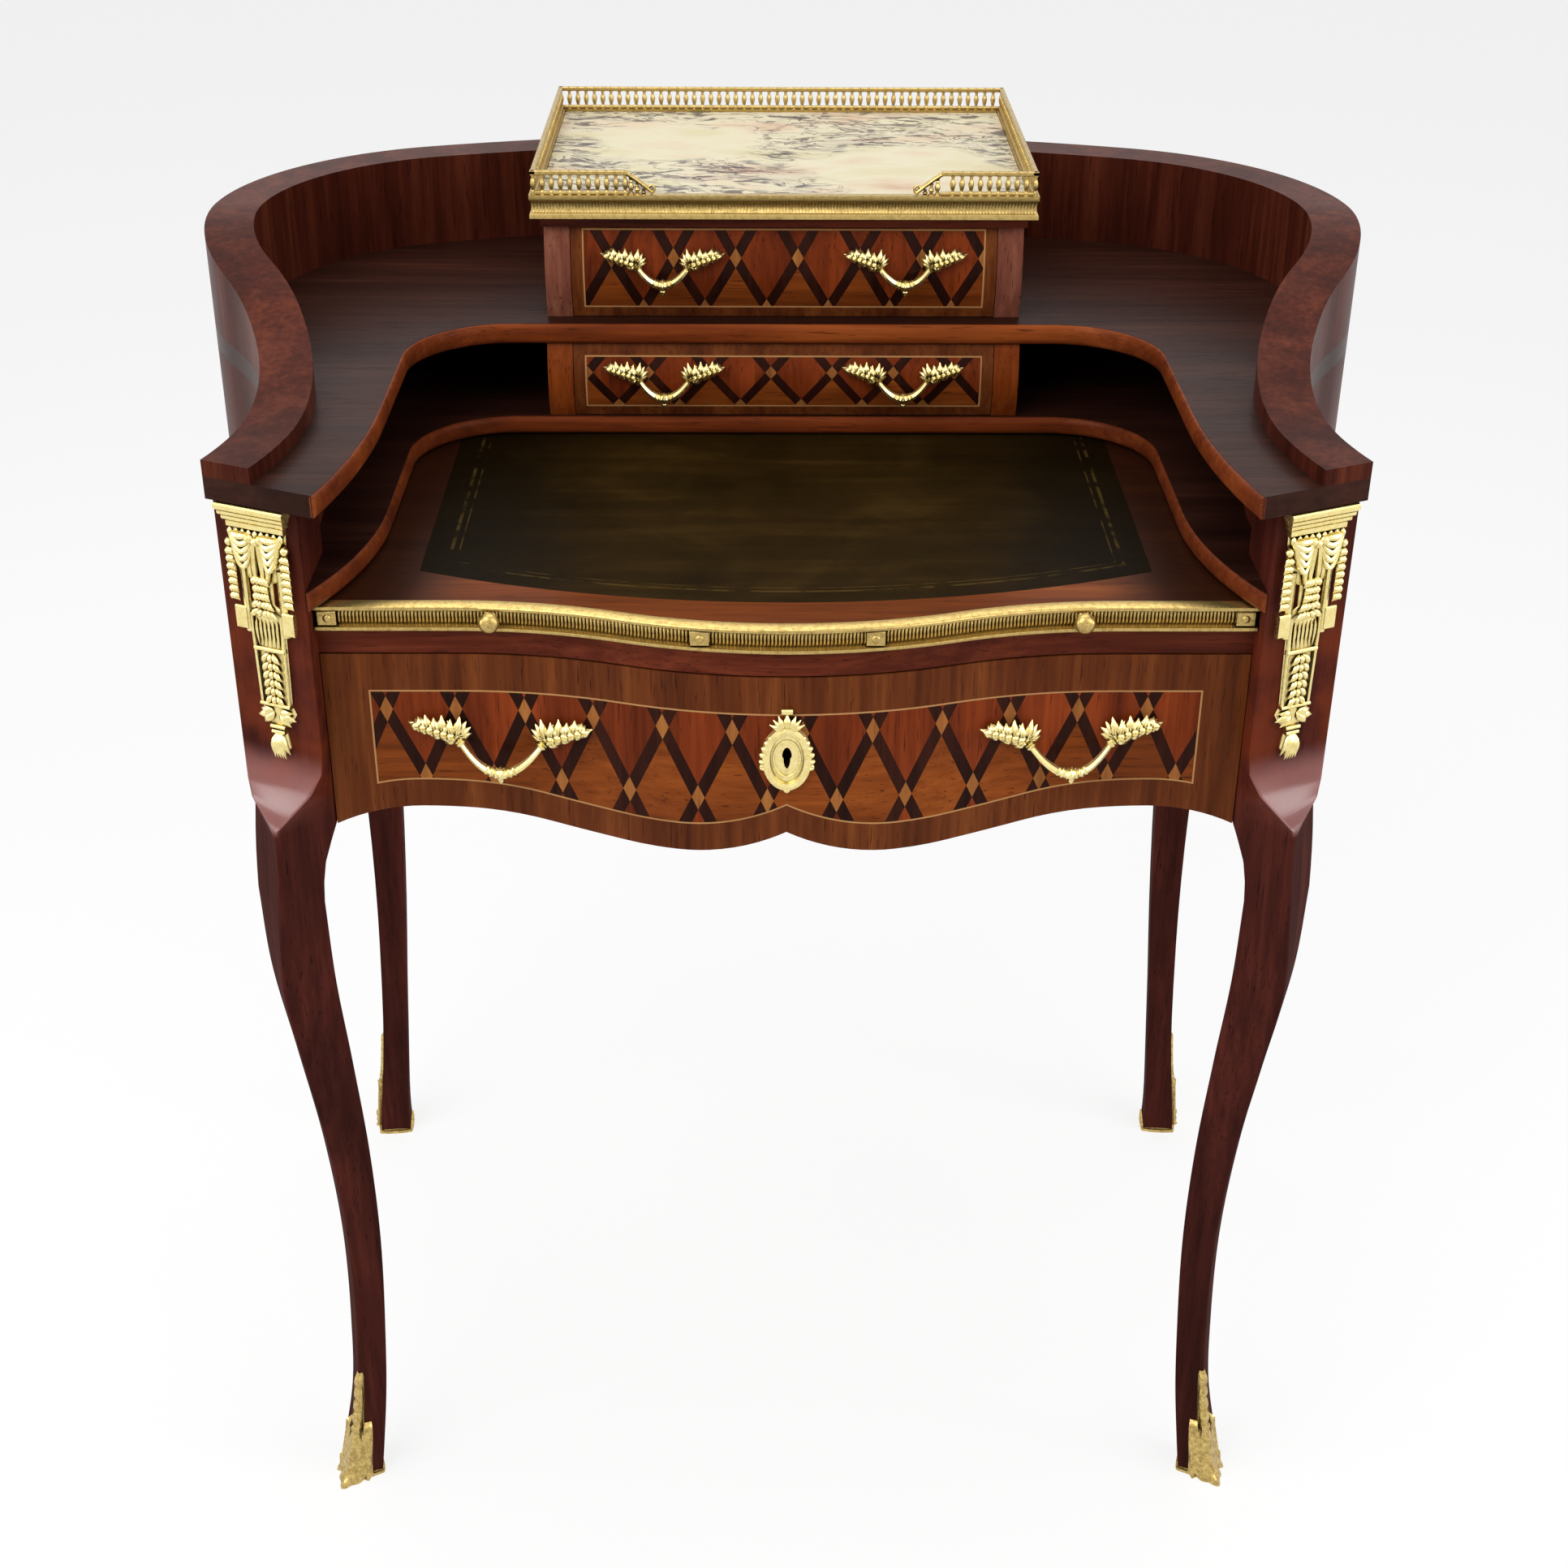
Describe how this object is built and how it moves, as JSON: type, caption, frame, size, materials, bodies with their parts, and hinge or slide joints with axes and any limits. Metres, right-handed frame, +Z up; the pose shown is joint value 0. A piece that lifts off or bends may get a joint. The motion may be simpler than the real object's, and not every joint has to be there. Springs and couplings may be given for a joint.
{
  "type": "ladies writing desk",
  "caption": "Kidney-shaped ladies desk on cabriole legs with a pull-out leather writing slide, a serpentine frieze drawer, small drawers, a curved ramped gallery and a marble top.",
  "frame": {"origin": "on the floor under the middle of the desk's bounding box", "axes": "+X to the right of someone facing the front, +Y to the back, +Z up"},
  "size_m": [0.796, 0.593, 0.929],
  "materials": {
    "veneer": "polished red-brown veneer",
    "oak_lining": "plain unpolished wood",
    "gilt_bronze": "gilded casting",
    "lock_brass": "plain brass",
    "leather": "tooled leather",
    "marble": "polished veined marble"
  },
  "bodies": {
    "carcass": {"back_wall": "veneer", "corner_mount_left": "gilt_bronze", "corner_mount_right": "gilt_bronze", "drawer_runners": "oak_lining", "front_rail": "veneer", "gallery_back": "gilt_bronze", "gallery_left": "gilt_bronze", "gallery_right": "gilt_bronze", "gallery_wall_back": "veneer", "gallery_wall_left": "veneer", "gallery_wall_right": "veneer", "leg_front_left": "veneer", "leg_front_right": "veneer", "leg_rear_left": "veneer", "leg_rear_right": "veneer", "lower_board": "veneer", "lower_cheek_left": "veneer", "lower_cheek_right": "veneer", "marble_top": "marble", "sabot_front_left": "gilt_bronze", "sabot_front_right": "gilt_bronze", "sabot_rear_left": "gilt_bronze", "sabot_rear_right": "gilt_bronze", "side_wall_left": "veneer", "side_wall_right": "veneer", "slide_runners": "oak_lining", "tray_band": "gilt_bronze", "tray_board": "veneer", "upper_cheek_left": "veneer", "upper_cheek_right": "veneer", "upper_shelf": "veneer"},
    "main_drawer": {"escutcheon": "gilt_bronze", "lock_case": "lock_brass", "main_drawer_back": "oak_lining", "main_drawer_bottom": "oak_lining", "main_drawer_front": "veneer", "main_drawer_side_left": "oak_lining", "main_drawer_side_right": "oak_lining", "main_handle_left": "gilt_bronze", "main_handle_right": "gilt_bronze"},
    "writing_slide": {"leather_panel": "leather", "slide_board": "veneer", "slide_knobs": "gilt_bronze", "slide_moulding": "gilt_bronze"},
    "lock_bolt": {"lock_bolt": "lock_brass"},
    "lower_drawer": {"lower_drawer_back": "oak_lining", "lower_drawer_bottom": "oak_lining", "lower_drawer_front": "veneer", "lower_drawer_side_left": "oak_lining", "lower_drawer_side_right": "oak_lining", "lower_handle_left": "gilt_bronze", "lower_handle_right": "gilt_bronze"},
    "upper_drawer": {"upper_drawer_back": "oak_lining", "upper_drawer_bottom": "oak_lining", "upper_drawer_front": "veneer", "upper_drawer_side_left": "oak_lining", "upper_drawer_side_right": "oak_lining", "upper_handle_left": "gilt_bronze", "upper_handle_right": "gilt_bronze"}
  },
  "joints": [
    {"name": "writing_slide_pull", "type": "slide", "parent": "carcass", "child": "writing_slide", "axis": [0, -1, 0], "range_m": [0, 0.22]},
    {"name": "main_drawer_pull", "type": "slide", "parent": "carcass", "child": "main_drawer", "axis": [0, -1, 0], "range_m": [0, 0.3]},
    {"name": "lower_drawer_pull", "type": "slide", "parent": "carcass", "child": "lower_drawer", "axis": [0, -1, 0], "range_m": [0, 0.15]},
    {"name": "upper_drawer_pull", "type": "slide", "parent": "carcass", "child": "upper_drawer", "axis": [0, -1, 0], "range_m": [0, 0.14]},
    {"name": "lock_bolt_throw", "type": "slide", "parent": "main_drawer", "child": "lock_bolt", "axis": [0, 0, 1], "range_m": [0, 0.007]}
  ]
}
